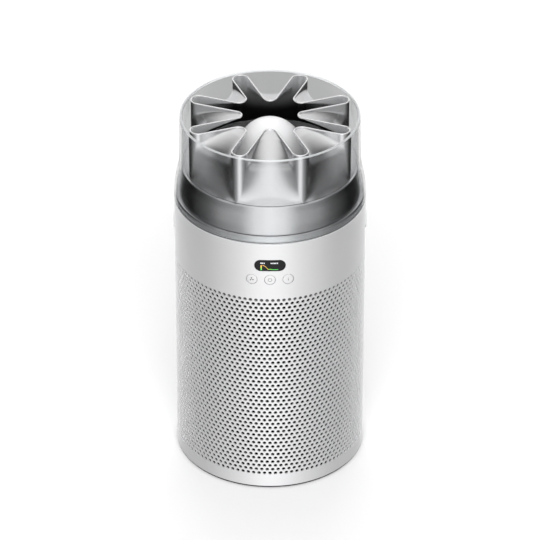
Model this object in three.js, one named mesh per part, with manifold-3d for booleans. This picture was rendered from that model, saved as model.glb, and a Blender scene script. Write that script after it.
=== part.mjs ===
// A free-standing air purifier: a perforated cylinder that draws room air in all round, through a pleated
// filter, into a mixed-flow fan, and blows it out of an eight-slot metal nozzle under a clear shell.
// Millimetres, +Z up, front at -Y. Origin: centre of the underside.
import * as THREE from "three";
import { mergeVertices } from "three/addons/utils/BufferGeometryUtils.js";
import Module from "manifold-3d";

const wasm = await Module();
wasm.setup();

// ---- Driving dimensions ----
const HEIGHT = 450;
const BODY_R = 112;
const CASING_WALL = 1.6;
const CASING_TOP = 342.5;
const FOOT_HEIGHT = 2.5;
const CLEARANCE = 0.3;
const FINE = 48; // segments round the outer pieces
const COARSE = 32; // segments round the large inner pieces
const SMALL = 20; // segments round the motor's pieces

// Nozzle
const SHELL_WALL = 3;
const SHELL_RIM_R = 104.5;
const NOZZLE_WALL = 1.3;
const NOZZLE_FOOT_Z = 386.8;
const COLLAR_TOP_R = 101.8;
const COLLAR_BORE = 98;
const SLOT_HALF_WIDTH = 10;
const SLOT_REACH = 99.3;
const SLOT_ANGLE = THREE.MathUtils.degToRad(20.85);
const SLOT_OFFSET = 2.77; // sideways shift that brings the slot's outer end back to 22.5 degrees
const AXIS_TIP_R = 7.2; // rounding of the front, back and side wedges
const DIAGONAL_TIP_R = 8.5;
const CONE_TOP = 442;

// Controls
const BUTTON_R = 6.2;
const BUTTON_Z = 294.5;
const BUTTON_SPACING = 21.3 / BODY_R; // radians between neighbours
const BUTTON_TRAVEL = 0.8;
const DISPLAY_WIDTH = 36.2;
const DISPLAY_HEIGHT = 15;
const DISPLAY_Z = 313.9;
const RELEASE_WIDTH = 14;
const RELEASE_HEIGHT = 25;
const RELEASE_Z = 310.5;
const RELEASE_PROUD = 1.2;
const RELEASE_TRAVEL = 2;

// Inside
const FLOOR_TOP = 6;
const DECK_Z = 16.3;
const FILTER_Z = 18.6;
const FILTER_TOP = 263;
const FAN_DECK_Z = 265.8;
const DUCT_R = 66.5;
const SHAFT_R = 4;
const SOCKET_Z = 11.1;

const CASING_BORE = BODY_R - CASING_WALL;
const INNER_R = CASING_BORE - 0.5; // what slides into the casing

// ---- Materials ----
const standard = (color, roughness, metalness = 0) =>
  new THREE.MeshStandardMaterial({ color, roughness, metalness });
const WHITE = standard(0xeeeeee, 0.45);
const BLACK = standard(0x17181a, 0.5);
const GLOSS_BLACK = standard(0x050505, 0.08);
const GREY_PLASTIC = standard(0x6c7074, 0.55);
const RUBBER = standard(0x111111, 0.85);
const SILVER = standard(0xc9cbcd, 0.22, 1);
const STEEL = standard(0xb4b6b8, 0.35, 1);
const COPPER = standard(0xb06a3b, 0.35, 1);
const BOARD = standard(0x1d5a3a, 0.6);
const FILTER_PAPER = standard(0xe9e6dc, 0.95);
const CARBON = standard(0x222222, 0.95);
const MESH_FABRIC = standard(0x2b2c2e, 0.9);
const FOAM = standard(0x3a3a3c, 1);
const CLEAR = standard(0xe8ecee, 0.04);
CLEAR.transparent = true;
CLEAR.opacity = 0.3;

// ---- Solids ----
function solidFrom(vertProperties, triVerts) {
  return new wasm.Manifold(new wasm.Mesh({ numProp: 3, vertProperties, triVerts }));
}

// A closed geometry as a solid whose faces point out.
function solid(geometry) {
  const bare = geometry.clone();
  bare.deleteAttribute("normal");
  bare.deleteAttribute("uv");
  const merged = mergeVertices(bare, 1e-4);
  const positions = merged.attributes.position.array;
  const triVerts = new Uint32Array(merged.index.array);
  const made = solidFrom(positions, triVerts);
  if (made.volume() > 0) return made;
  for (let i = 0; i < triVerts.length; i += 3) {
    [triVerts[i + 1], triVerts[i + 2]] = [triVerts[i + 2], triVerts[i + 1]];
  }
  return solidFrom(positions, triVerts);
}

const unite = (solids) => solids.reduce((sum, next) => sum.add(next));
const cut = (body, tools) => tools.reduce((rest, tool) => rest.subtract(tool), body);

// A profile of [radius, z] turned round the Z axis. It is closed here unless it runs from axis to axis.
function turned(profile, segments = COARSE) {
  const points = profile.map(([r, z]) => new THREE.Vector2(r, z));
  const onAxis = profile[0][0] === 0 && profile.at(-1)[0] === 0;
  if (!onAxis) points.push(points[0].clone());
  return solid(new THREE.LatheGeometry(points, segments).rotateX(Math.PI / 2));
}

// A plain ring of rectangular section.
function ring(innerR, outerR, z0, z1, segments = COARSE) {
  return turned([[innerR, z0], [outerR, z0], [outerR, z1], [innerR, z1]], segments);
}

function upright(radius, z0, z1, x = 0, y = 0, segments = 16) {
  const rod = new THREE.CylinderGeometry(radius, radius, z1 - z0, segments).rotateX(Math.PI / 2);
  return solid(rod.translate(x, y, (z0 + z1) / 2));
}

function block(x0, x1, y0, y1, z0, z1) {
  const box = new THREE.BoxGeometry(x1 - x0, y1 - y0, z1 - z0);
  return solid(box.translate((x0 + x1) / 2, (y0 + y1) / 2, (z0 + z1) / 2));
}

function disc(radius) {
  const shape = new THREE.Shape();
  shape.absarc(0, 0, radius, 0, 2 * Math.PI);
  return shape;
}

function rectangle(width, height) {
  const shape = new THREE.Shape();
  shape.moveTo(-width / 2, -height / 2);
  shape.lineTo(width / 2, -height / 2);
  shape.lineTo(width / 2, height / 2);
  shape.lineTo(-width / 2, height / 2);
  return shape;
}

// A stadium: two half rounds and the straight sides between them.
function pill(width, height) {
  const radius = Math.min(width, height) / 2;
  const shape = new THREE.Shape();
  if (width > height) {
    const reach = width / 2 - radius;
    shape.absarc(reach, 0, radius, -Math.PI / 2, Math.PI / 2);
    shape.absarc(-reach, 0, radius, Math.PI / 2, 1.5 * Math.PI);
    return shape;
  }
  const reach = height / 2 - radius;
  shape.absarc(0, reach, radius, 0, Math.PI);
  shape.absarc(0, -reach, radius, Math.PI, 2 * Math.PI);
  return shape;
}

// An outline standing at height z, pushed outwards from radius r0 to r1. Azimuth 0 is the front, 90 the right.
function radial(shape, r0, r1, z, azimuth = 0, curveSegments = 5) {
  const prism = new THREE.ExtrudeGeometry(shape, { depth: r1 - r0, bevelEnabled: false, curveSegments });
  prism.rotateX(Math.PI / 2).translate(0, -r0, z).rotateZ(azimuth);
  return solid(prism);
}

// ---- Scene graph ----
const purifier = new THREE.Group();

function node(name, made, material, parent = purifier) {
  const { vertProperties, triVerts } = made.getMesh();
  const geometry = new THREE.BufferGeometry();
  geometry.setAttribute("position", new THREE.BufferAttribute(vertProperties, 3));
  geometry.setIndex(new THREE.BufferAttribute(triVerts, 1));
  geometry.computeVertexNormals();
  const mesh = new THREE.Mesh(geometry, material);
  mesh.name = name;
  parent.add(mesh);
  return mesh;
}

// ---- Base ----
const SCREW_R = 84;
const BOARD_X = 38;
const BOARD_Y = 24;
const quarterTurns = [0, 1, 2, 3].map((k) => Math.PI / 4 + (k * Math.PI) / 2);

node("foot_ring", ring(92, BODY_R - 1.5, 0, FOOT_HEIGHT, FINE), RUBBER);

function basePlate() {
  const floor = FOOT_HEIGHT + CLEARANCE;
  const wall = 1.5;
  const pan = turned([[0, floor], [INNER_R, floor], [INNER_R, DECK_Z - CLEARANCE],
    [INNER_R - wall, DECK_Z - CLEARANCE], [INNER_R - wall, FLOOR_TOP], [0, FLOOR_TOP]]);
  const bosses = [[1, 1], [-1, 1], [1, -1], [-1, -1]].map(([sx, sy]) =>
    upright(3, FLOOR_TOP - 1, FLOOR_TOP + 2.7, sx * BOARD_X, sy * BOARD_Y, 8));
  const screwHoles = quarterTurns.flatMap((angle) => {
    const x = SCREW_R * Math.cos(angle);
    const y = SCREW_R * Math.sin(angle);
    return [upright(4.2, floor - 1, floor + 2.2, x, y, 12), upright(2, floor, FLOOR_TOP + 1, x, y, 8)];
  });
  const socketGap = block(-7.6, 7.6, 100, BODY_R, FLOOR_TOP, DECK_Z + 1);
  return cut(unite([pan, ...bosses]), [...screwHoles, socketGap]);
}
node("base_plate", basePlate(), WHITE);

const HARNESS_AZIMUTH = THREE.MathUtils.degToRad(140);

function baseDeck() {
  const deck = turned([[0, DECK_Z], [INNER_R, DECK_Z], [INNER_R, DECK_Z + 2], [0, DECK_Z + 2]]);
  const bosses = quarterTurns.map((angle) => {
    const x = SCREW_R * Math.cos(angle);
    const y = SCREW_R * Math.sin(angle);
    return upright(5, FLOOR_TOP + CLEARANCE, DECK_Z + 0.5, x, y, 10);
  });
  const screwHoles = quarterTurns.map((angle) =>
    upright(1.9, FLOOR_TOP, DECK_Z - 1.8, SCREW_R * Math.cos(angle), SCREW_R * Math.sin(angle), 8));
  const cableNotch = radial(rectangle(5, 8), 99, BODY_R, DECK_Z, HARNESS_AZIMUTH);
  return cut(unite([deck, ...bosses]), [...screwHoles, cableNotch]);
}
node("base_deck", baseDeck(), BLACK);

quarterTurns.forEach((angle, k) => {
  const x = SCREW_R * Math.cos(angle);
  const y = SCREW_R * Math.sin(angle);
  const screw = unite([upright(3.8, 3, 4.7, x, y, 12), upright(1.6, 4.5, 13.8, x, y, 8)]);
  node(`base_screw_${k + 1}`, screw, STEEL);
});

node("power_board", block(-45, 45, -30, 30, 9, 10.6), BOARD);

const SOCKET_FACE = BODY_R - 0.4;
const socketBody = block(-7, 7, 95, SOCKET_FACE, SOCKET_Z - 4.8, SOCKET_Z + 4.8);
const socketBore = radial(disc(3), SOCKET_FACE - 10, BODY_R + 1, SOCKET_Z, Math.PI, 8);
node("inlet_socket", socketBody.subtract(socketBore), BLACK);
node("inlet_pin", radial(disc(1), SOCKET_FACE - 9.7, SOCKET_FACE - 1.5, SOCKET_Z, Math.PI, 4), STEEL);

// ---- Filter cartridge ----
const MEDIA_Z0 = FILTER_Z + 2.4;
const MEDIA_Z1 = FILTER_TOP - 4;
const PLEATS = 36;

// The pleated sheet: two zigzag outlines, one inside the other.
function pleatedMedia() {
  const zigzag = (peakR, valleyR, target) => {
    for (let k = 0; k < 2 * PLEATS; k += 1) {
      const angle = (k * Math.PI) / PLEATS;
      const radius = k % 2 ? valleyR : peakR;
      const move = k ? "lineTo" : "moveTo";
      target[move](radius * Math.cos(angle), radius * Math.sin(angle));
    }
    return target;
  };
  const sheet = zigzag(102.6, 88, new THREE.Shape());
  sheet.holes.push(zigzag(101, 86.4, new THREE.Path()));
  const prism = new THREE.ExtrudeGeometry(sheet, { depth: MEDIA_Z1 - MEDIA_Z0, bevelEnabled: false });
  return solid(prism.translate(0, 0, MEDIA_Z0));
}
node("filter_end_cap_lower", ring(80, 105.5, FILTER_Z, FILTER_Z + 2.1), GREY_PLASTIC);
node("prefilter_sleeve", ring(103.6, 104.6, MEDIA_Z0, MEDIA_Z1), MESH_FABRIC);
node("particle_filter", pleatedMedia(), FILTER_PAPER);
node("carbon_filter", ring(82, 85, MEDIA_Z0, MEDIA_Z1), CARBON);
node("filter_end_cap_upper", ring(80, 105.5, MEDIA_Z1 + CLEARANCE, FILTER_TOP), GREY_PLASTIC);
node("filter_seal", ring(86, 104, FILTER_TOP + CLEARANCE, FAN_DECK_Z - CLEARANCE), RUBBER);

// ---- Fan ----
function fanDeck() {
  const throat = turned([[INNER_R, FAN_DECK_Z], [INNER_R, FAN_DECK_Z + 2.2], [86, FAN_DECK_Z + 2.2], [71, 273],
    [DUCT_R - 0.5, 284], [DUCT_R - 2.5, 284], [69.4, 271.8], [84, FAN_DECK_Z]]);
  return throat.subtract(radial(rectangle(5, 10), 104, BODY_R, FAN_DECK_Z + 1, HARNESS_AZIMUTH));
}
node("inlet_bellmouth", fanDeck(), BLACK);

function inletGuard() {
  const z0 = FILTER_TOP + 0.5;
  const z1 = FAN_DECK_Z - CLEARANCE;
  const spokes = [0, 1, 2].map((k) => {
    const bar = new THREE.BoxGeometry(160, 2.4, z1 - z0).rotateZ((k * Math.PI) / 3);
    return solid(bar.translate(0, 0, (z0 + z1) / 2));
  });
  const hoops = [[78, 83.5], [40, 43]].map(([inner, outer]) => ring(inner, outer, z0, z1));
  return unite([...hoops, ...spokes]);
}
node("inlet_guard", inletGuard(), BLACK);

function fanDuct() {
  const top = CASING_TOP - 1;
  const duct = turned([[DUCT_R, 284.5], [DUCT_R, 320], [72, 328], [82, 335.5], [94, top], [INNER_R, top],
    [INNER_R, top - 2.5], [95.5, top - 2.5], [84, 332.6], [75, 325.5], [DUCT_R + 2.5, 318],
    [DUCT_R + 2.5, 284.5]]);
  const hookGaps = [90, -90].map((degrees) =>
    radial(rectangle(14, 10), 99.5, 106, top - 1, THREE.MathUtils.degToRad(degrees)));
  return cut(duct, hookGaps);
}
node("fan_duct", fanDuct(), BLACK);
node("acoustic_foam", ring(DUCT_R + 4, 88, 286, 316), FOAM);

// Thin blades standing between two radii, twisted about the Z axis as they rise.
function blades({ count, r0, r1, thickness, z0, z1, twist = 0, levels = 1 }) {
  return Array.from({ length: count }, (_, k) => {
    const blade = new THREE.BoxGeometry(r1 - r0, thickness, z1 - z0, 1, 1, levels);
    blade.translate((r0 + r1) / 2, 0, (z0 + z1) / 2);
    const position = blade.attributes.position;
    const point = new THREE.Vector3();
    for (let i = 0; i < position.count; i += 1) {
      point.fromBufferAttribute(position, i);
      const rise = (point.z - z0) / (z1 - z0);
      point.applyAxisAngle(new THREE.Vector3(0, 0, 1), twist * (rise - 0.5));
      position.setXYZ(i, point.x, point.y, point.z);
    }
    return solid(blade.rotateZ((k * 2 * Math.PI) / count));
  });
}

const rotor = new THREE.Group();
purifier.add(rotor);

function impeller() {
  const hub = turned([[SHAFT_R + CLEARANCE, 288], [20, 288], [31, 301], [44, 318.5], [SHAFT_R + CLEARANCE, 318.5]],
    SMALL);
  const vanes = blades({ count: 9, r0: 16, r1: 63.5, thickness: 2, z0: 289.5, z1: 317, twist: 0.9, levels: 3 });
  return unite([hub, ...vanes]);
}
node("impeller", impeller(), GREY_PLASTIC, rotor);
node("impeller_nut", upright(6, 281, 286.6, 0, 0, 6), STEEL, rotor);
node("motor_shaft", upright(SHAFT_R, 287, 349.5), STEEL, rotor);
node("motor_magnet", ring(SHAFT_R + CLEARANCE, 10.5, 329, 345, SMALL), GREY_PLASTIC, rotor);

function diffuser() {
  const floor = 320.5;
  const bucket = turned([[8, floor], [46, floor], [50, 330], [64, 351], [62, 351], [48, 331], [45, floor + 2],
    [8, floor + 2]]);
  const hoop = ring(DUCT_R - 2, DUCT_R - 0.5, floor, floor + 5);
  const vanes = blades({ count: 9, r0: 47, r1: DUCT_R - 1, thickness: 1.8, z0: floor, z1: 327, twist: -0.3 });
  return unite([bucket, hoop, ...vanes]);
}
node("diffuser", diffuser(), BLACK);

node("bearing_lower", ring(SHAFT_R + CLEARANCE, 7.6, 320.8, 324.6, SMALL), STEEL);
node("bearing_upper", ring(SHAFT_R + CLEARANCE, 8, 346.5, 349.5, SMALL), STEEL);
node("motor_can", turned([[0, 352], [28, 352], [28, 325], [26, 325], [26, 350], [0, 350]], SMALL), STEEL);

function stator() {
  const yoke = ring(21, 25.5, 328, 346, SMALL);
  const teeth = blades({ count: 9, r0: 12, r1: 22, thickness: 3, z0: 328, z1: 346 });
  return unite([yoke, ...teeth]);
}
node("motor_stator", stator(), COPPER);

function cone() {
  const outer = [[0, CONE_TOP], [10, 440.7], [19, 436.8], [27, 430.6], [34, 421.7], [43, 404], [53, 378],
    [64, 351.4]];
  const inner = [[61.4, 351.4], [50.5, 378], [40.5, 403], [31, 420.6], [18, 433.6], [0, 438.5]];
  return turned([...outer, ...inner]);
}
node("outlet_cone", cone(), SILVER);

// ---- Casing and controls ----
const controls = [
  { name: "fan_speed", azimuth: -BUTTON_SPACING },
  { name: "power", azimuth: 0 },
  { name: "info", azimuth: BUTTON_SPACING },
];
const SWITCH_FACE = 101.8; // distance of the switches' tops in front of the axis
const sides = [{ name: "right", azimuth: Math.PI / 2 }, { name: "left", azimuth: -Math.PI / 2 }];

function casing() {
  const bottom = FOOT_HEIGHT + 0.1;
  const tube = turned([[CASING_BORE, bottom], [BODY_R, bottom], [BODY_R, CASING_TOP - 0.8],
    [BODY_R - 0.8, CASING_TOP], [CASING_BORE, CASING_TOP]], FINE);
  const outside = BODY_R + 5;
  const inside = BODY_R - 8;
  const openings = [
    radial(pill(DISPLAY_WIDTH + 0.6, DISPLAY_HEIGHT + 0.6), inside, outside, DISPLAY_Z),
    radial(rectangle(14.8, 10.4), inside, outside, SOCKET_Z, Math.PI),
    ...controls.map(({ azimuth }) => radial(disc(BUTTON_R + CLEARANCE), inside, outside, BUTTON_Z, azimuth)),
    ...sides.map(({ azimuth }) =>
      radial(pill(RELEASE_WIDTH + 0.6, RELEASE_HEIGHT + 0.6), inside, outside, RELEASE_Z, azimuth)),
  ];
  return cut(tube, openings);
}
node("outer_casing", casing(), WHITE);

const windowBand = ring(CASING_BORE - 0.2, BODY_R - 0.1, DISPLAY_Z - 20, DISPLAY_Z + 20, 96);
const windowPrism = radial(pill(DISPLAY_WIDTH, DISPLAY_HEIGHT), BODY_R - 12, BODY_R + 2, DISPLAY_Z);
node("display_window", windowBand.intersect(windowPrism), GLOSS_BLACK);
node("display_panel", radial(rectangle(32, 13), 105.8, 108.3, DISPLAY_Z), BLACK);
node("control_board", radial(rectangle(54, 40), 98.4, 100, 306), BOARD);

for (const { name, azimuth } of controls) {
  const stemEnd = (SWITCH_FACE + BUTTON_TRAVEL + 0.4) / Math.cos(azimuth);
  const cap = unite([
    radial(disc(BUTTON_R), 108.2, BODY_R, BUTTON_Z, azimuth),
    radial(disc(BUTTON_R + 1.3), 108.2, 109.8, BUTTON_Z, azimuth),
    radial(disc(2), stemEnd, 109, BUTTON_Z, azimuth, 3),
  ]);
  node(`${name}_button`, cap, WHITE);
  const x = stemEnd * Math.sin(azimuth);
  node(`${name}_switch`, block(x - 3, x + 3, -SWITCH_FACE, -100.3, BUTTON_Z - 3, BUTTON_Z + 3), BLACK);
}

const STEM_END = 101; // the release buttons' stems reach in to here, and no further than the springs allow
const SPRING_FACE = STEM_END - RELEASE_TRAVEL - 0.6;

for (const { name, azimuth } of sides) {
  const paddle = unite([
    radial(pill(RELEASE_WIDTH, RELEASE_HEIGHT), 108, BODY_R + RELEASE_PROUD, RELEASE_Z, azimuth),
    radial(pill(RELEASE_WIDTH + 3, RELEASE_HEIGHT + 3), 107.6, 109.4, RELEASE_Z, azimuth),
    radial(rectangle(6, 10), STEM_END, 108.4, RELEASE_Z, azimuth),
  ]);
  node(`release_button_${name}`, paddle, WHITE);

  // A folded leaf spring behind the stem, in its pressed shape so that the button can travel.
  const back = radial(rectangle(6, 14), 91, 91.8, RELEASE_Z, azimuth);
  const fold = radial(rectangle(6, 0.8), 91, SPRING_FACE, RELEASE_Z + 6.6, azimuth);
  const leaf = radial(rectangle(6, 14), SPRING_FACE - 0.8, SPRING_FACE, RELEASE_Z, azimuth);
  node(`release_spring_${name}`, unite([back, fold, leaf]), STEEL);
}

function airSensor() {
  const azimuth = THREE.MathUtils.degToRad(-150);
  const body = radial(rectangle(28, 24), 94, 104, 302, azimuth);
  return body.subtract(radial(disc(4), 100, 106, 304, azimuth));
}
node("air_quality_sensor", airSensor(), BLACK);

// The internal lead from the power board up to the fan and the controls, clipped inside the casing.
function harness() {
  const route = [[56, 13], [80, 13], [97, 13], [104.5, 15.5], [107, 22], [107, 60], [107, 150], [107, 245],
    [107, 272], [104, 282], [97, 288], [91, 290]];
  const points = route.map(([r, z]) =>
    new THREE.Vector3(r * Math.sin(HARNESS_AZIMUTH), -r * Math.cos(HARNESS_AZIMUTH), z));
  const section = new THREE.Shape();
  section.absarc(0, 0, 1.1, 0, 2 * Math.PI);
  const path = new THREE.CatmullRomCurve3(points, false, "centripetal");
  return solid(new THREE.ExtrudeGeometry(section, { extrudePath: path, steps: 26, curveSegments: 3 }));
}
node("wiring_harness", harness(), RUBBER);
node("head_seal", ring(96, 98, CASING_TOP - 0.7, CASING_TOP), RUBBER);

// ---- Head: lifts off the casing when both release buttons are pressed ----
const head = new THREE.Group();
purifier.add(head);
const HEAD_Z = CASING_TOP + CLEARANCE;

node("head_base_ring", ring(95, 108.6, HEAD_Z, 350.7, FINE), SILVER, head);

function collar() {
  const bottom = 351;
  const top = NOZZLE_FOOT_Z - CLEARANCE;
  return turned([[106.2, bottom], [104.6, 365], [COLLAR_TOP_R, top], [COLLAR_BORE, top], [COLLAR_BORE, bottom]],
    FINE);
}
node("nozzle_collar", collar(), SILVER, head);

// In plan the nozzle is eight slots with rounded ends, in four pairs. A trough reaches in from the rim between
// neighbouring slots: one on each axis and one on each diagonal.
const CENTRE = new THREE.Vector2();
const SLOT_END = new THREE.Vector2(SLOT_REACH - SLOT_HALF_WIDTH, SLOT_OFFSET).rotateAround(CENTRE, SLOT_ANGLE);
const aboutDiagonal = ({ x, y }) => new THREE.Vector2(x + y, x - y).multiplyScalar(Math.SQRT1_2);
const AXIS_TROUGH = {
  halfAngle: SLOT_ANGLE, wallOffset: SLOT_HALF_WIDTH - SLOT_OFFSET, tipR: AXIS_TIP_R, slotEnd: SLOT_END,
};
const DIAGONAL_TROUGH = {
  halfAngle: Math.PI / 4 - SLOT_ANGLE, wallOffset: SLOT_HALF_WIDTH + SLOT_OFFSET, tipR: DIAGONAL_TIP_R,
  slotEnd: aboutDiagonal(SLOT_END),
};
const FLOOR_STEPS = 3;
const END_STEPS = 4;

// How far the floor of the axis troughs lies from the centre line at each height: it falls away gently from the
// inner tip, then drops almost straight, and runs out into the round foot.
const TROUGH_FLOOR = [[NOZZLE_FOOT_Z, 99.4], [394, 90.5], [405, 86], [424, 82], [432, 78], [438, 68.5], [443, 57],
  [447, 44], [HEIGHT, 33.3]];
const LEVELS = TROUGH_FLOOR.map(([z]) => z);

function floorAt(z) {
  const upper = Math.max(1, TROUGH_FLOOR.findIndex(([top]) => top >= z));
  const [z0, r0] = TROUGH_FLOOR[upper - 1];
  const [z1, r1] = TROUGH_FLOOR[upper];
  return r0 + ((r1 - r0) * (z - z0)) / (z1 - z0);
}

// Half of one trough in plan, in its own frame: the trough's middle lies along +X and the slot on the +Y side.
// The floor is an arc tangent to the slot's wall, or to its rounded end once the floor lies far enough out.
// The outline runs from the middle of the floor to the far side of the slot's end, moved outwards by grow.
function halfTrough({ halfAngle, wallOffset, slotEnd }, floor, grow) {
  const middle = floor + grow;
  const endR = SLOT_HALF_WIDTH + grow;
  const sine = Math.sin(halfAngle);
  const wall = new THREE.Vector2(Math.cos(halfAngle), sine);
  const apex = new THREE.Vector2((wallOffset + grow) / sine, 0); // where the walls of the trough would cross
  const wallLength = slotEnd.clone().sub(apex).dot(wall);
  let bend = (1 - sine) / ((middle - apex.x) * sine); // the arc's curvature, positive for a hollow floor
  const touch = (middle + 1 / bend - apex.x) * Math.cos(halfAngle);
  const onWall = touch < wallLength;
  const inward = middle - slotEnd.x;
  if (!onWall) bend = (2 * (endR - inward)) / (inward ** 2 + slotEnd.y ** 2 - endR ** 2);
  const towardsEnd = new THREE.Vector2(inward * bend + 1, -slotEnd.y * bend);
  const meet = onWall
    ? apex.clone().addScaledVector(wall, touch)
    : towardsEnd.multiplyScalar(endR / (1 + endR * bend)).add(slotEnd);
  const turn = Math.atan2(bend * meet.y, 1 - bend * (meet.x - middle));
  const points = [];
  for (let i = 0; i <= FLOOR_STEPS; i += 1) {
    const t = (turn * i) / FLOOR_STEPS;
    points.push(new THREE.Vector2(middle + (1 - Math.cos(t)) / bend, Math.sin(t) / bend));
  }
  const straight = onWall ? wallLength - touch : 0;
  const start = onWall ? halfAngle - Math.PI / 2 : Math.atan2(meet.y - slotEnd.y, meet.x - slotEnd.x);
  const share = 0.25 * Math.min(1, straight / 10); // how many of the last steps the straight wall takes
  for (let i = 1; i <= END_STEPS; i += 1) {
    const t = i / END_STEPS;
    if (t < share) {
      points.push(meet.clone().addScaledVector(wall, (straight * t) / share));
      continue;
    }
    const angle = start + ((halfAngle - start) * (t - share)) / (1 - share);
    points.push(new THREE.Vector2(endR, 0).rotateAround(CENTRE, angle).add(slotEnd));
  }
  return points;
}

// The whole outline at one level, counter-clockwise from +X.
function nozzleOutline(floor, grow) {
  const foot = TROUGH_FLOOR[0][1]; // the diagonal troughs keep in step with the axis ones between foot and tip
  const tips = [AXIS_TROUGH, DIAGONAL_TROUGH].map(({ halfAngle, wallOffset, tipR }) =>
    (wallOffset + tipR) / Math.sin(halfAngle) - tipR);
  const diagonalFloor = foot - ((foot - floor) * (foot - tips[1])) / (foot - tips[0]);
  const fromAxis = halfTrough(AXIS_TROUGH, floor, grow);
  const toDiagonal = halfTrough(DIAGONAL_TROUGH, diagonalFloor, grow).reverse().map(aboutDiagonal);
  const eighth = [...fromAxis, ...toDiagonal.slice(1)];
  const mirrored = eighth.slice(1, -1).reverse().map((p) => new THREE.Vector2(p.y, p.x));
  const quarter = [...eighth, ...mirrored];
  return [0, 1, 2, 3].flatMap((k) =>
    quarter.map((p) => p.clone().rotateAround(CENTRE, (k * Math.PI) / 2)));
}

function nozzle() {
  const outer = LEVELS.map((z) => nozzleOutline(floorAt(z), 0).map((p) => [p.x, p.y, z]));
  const inner = LEVELS.toReversed().map((z) => {
    const above = Math.min(z + 1.2, HEIGHT); // keeps the sloping floors about as thick as the walls
    return nozzleOutline(floorAt(above) + 0.3, -NOZZLE_WALL).map((p) => [p.x, p.y, z]);
  });
  const rings = [...outer, ...inner];
  const count = outer[0].length;
  const indices = [];
  for (let k = 0; k < rings.length; k += 1) {
    const low = k * count;
    const high = ((k + 1) % rings.length) * count;
    for (let i = 0; i < count; i += 1) {
      const next = (i + 1) % count;
      indices.push(low + i, low + next, high + next, low + i, high + next, high + i);
    }
  }
  const geometry = new THREE.BufferGeometry();
  geometry.setAttribute("position", new THREE.Float32BufferAttribute(rings.flat(2), 3));
  geometry.setIndex(indices);
  return solid(geometry);
}
node("nozzle_lobes", nozzle(), SILVER, head);

function clearShell() {
  const w = SHELL_WALL;
  const outer = [[BODY_R, HEAD_Z], [BODY_R, 350], [110.9, 361], [106.9, 382.5], [105.5, 395],
    [SHELL_RIM_R, HEIGHT - 1.2], [SHELL_RIM_R - 1, HEIGHT]];
  const inner = [[SHELL_RIM_R - w, HEIGHT], [105.5 - w, 395], [106.9 - w, 381.5], [110.6 - w, 361],
    [BODY_R - w, 350], [BODY_R - w, HEAD_Z]];
  return turned([...outer, ...inner], FINE);
}
node("clear_shell", clearShell(), CLEAR, head);

for (const { name, azimuth } of sides) {
  const bladeFoot = 318;
  const bladeTop = HEAD_Z - CLEARANCE;
  const middle = (bladeFoot + bladeTop) / 2;
  const blade = radial(rectangle(12, bladeTop - bladeFoot), 101.5, 103.6, middle, azimuth);
  const toe = radial(rectangle(12, 3), 102, 105.2, 319.5, azimuth);
  node(`latch_hook_${name}`, unite([blade, toe]), STEEL, head);
}

export default purifier;
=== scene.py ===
"""Air purifier in a plain studio: a perforated white cylinder with a small display, and a slotted silver
nozzle under a clear shell. Metres, +Z up, front at -Y. Shapes are in millimetres and scaled by MM."""
import math

import bpy
import numpy as np
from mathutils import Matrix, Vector


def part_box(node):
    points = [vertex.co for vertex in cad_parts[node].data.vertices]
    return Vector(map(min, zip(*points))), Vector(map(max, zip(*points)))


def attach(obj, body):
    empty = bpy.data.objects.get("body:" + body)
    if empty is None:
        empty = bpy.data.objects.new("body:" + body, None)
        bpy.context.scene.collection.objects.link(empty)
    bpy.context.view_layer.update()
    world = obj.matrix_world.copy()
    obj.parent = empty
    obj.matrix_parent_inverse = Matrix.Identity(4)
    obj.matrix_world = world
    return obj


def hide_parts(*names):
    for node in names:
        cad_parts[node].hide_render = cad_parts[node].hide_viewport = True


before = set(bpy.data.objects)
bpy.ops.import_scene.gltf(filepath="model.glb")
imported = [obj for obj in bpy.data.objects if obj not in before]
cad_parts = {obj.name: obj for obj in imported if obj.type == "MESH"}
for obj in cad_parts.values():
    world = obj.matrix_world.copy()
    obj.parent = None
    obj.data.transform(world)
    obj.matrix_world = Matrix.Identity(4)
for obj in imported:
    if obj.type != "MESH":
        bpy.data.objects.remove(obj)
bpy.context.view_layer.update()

MM = 0.001
TURN = 2 * math.pi

# ---- Sizes taken from the frame, in millimetres ----


def corners(node):
    low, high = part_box(node)
    return low / MM, high / MM


def middle_height(node):
    low, high = corners(node)
    return (high.z + low.z) / 2


BODY_R = corners("outer_casing")[1].y
CASING_BOTTOM = corners("outer_casing")[0].z
CASING_TOP = corners("outer_casing")[1].z
HEIGHT = corners("clear_shell")[1].z
HEAD_Z = corners("clear_shell")[0].z
NOZZLE_FOOT_Z = corners("nozzle_lobes")[0].z
CONE_TOP = corners("outlet_cone")[1].z
FOOT_TOP = corners("foot_ring")[1].z
FOOT_R = corners("foot_ring")[1].x
CASING_WALL = 1.6

# ---- Materials ----


def new_material(name):
    material = bpy.data.materials.new(name)
    material.use_nodes = True
    tree = material.node_tree
    shader = tree.nodes["Principled BSDF"]
    return material, tree, shader


def noise(tree, scale, detail=3.0, roughness=0.5, stretch=None):
    """A noise texture in object space; stretch squeezes it along an axis."""
    coordinates = tree.nodes.new("ShaderNodeTexCoord")
    texture = tree.nodes.new("ShaderNodeTexNoise")
    texture.inputs["Scale"].default_value = scale
    texture.inputs["Detail"].default_value = detail
    texture.inputs["Roughness"].default_value = roughness
    if stretch is None:
        tree.links.new(coordinates.outputs["Object"], texture.inputs["Vector"])
        return texture
    mapping = tree.nodes.new("ShaderNodeMapping")
    mapping.inputs["Scale"].default_value = stretch
    tree.links.new(coordinates.outputs["Object"], mapping.inputs["Vector"])
    tree.links.new(mapping.outputs["Vector"], texture.inputs["Vector"])
    return texture


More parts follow.
